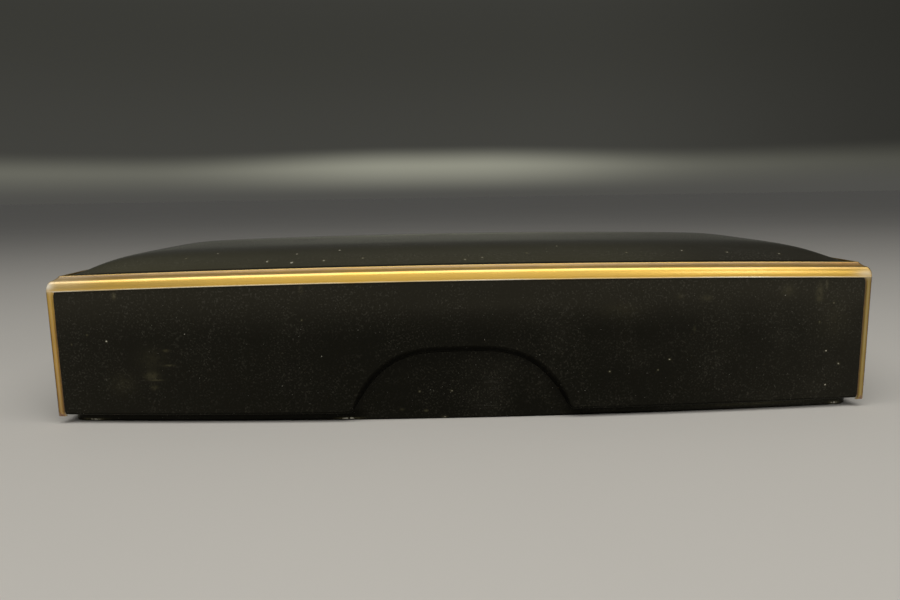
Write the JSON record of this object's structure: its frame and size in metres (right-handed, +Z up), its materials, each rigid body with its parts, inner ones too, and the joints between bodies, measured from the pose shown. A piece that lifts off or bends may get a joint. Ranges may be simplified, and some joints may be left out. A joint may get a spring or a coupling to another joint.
{
  "type": "lacquer letter box",
  "caption": "Shallow black lacquer letter box with a lift-off cap lid, a swelled top, a gilt moulded edge and grip notches.",
  "frame": {"origin": "centre of the underside of the box, on the surface it stands on", "axes": "+X along the box's length, +Z up; the front, which the picture shows, faces -Y"},
  "size_m": [0.3348, 0.175, 0.068],
  "materials": {
    "black_lacquer": "polished black lacquer over thin wood, with fine scratches, dust and smudges",
    "gold_lacquer": "gold lacquer over thin wood, worn along its sharp edges"
  },
  "bodies": {
    "root": {"lid": "black_lacquer", "box_body": "black_lacquer"}
  },
  "joints": []
}
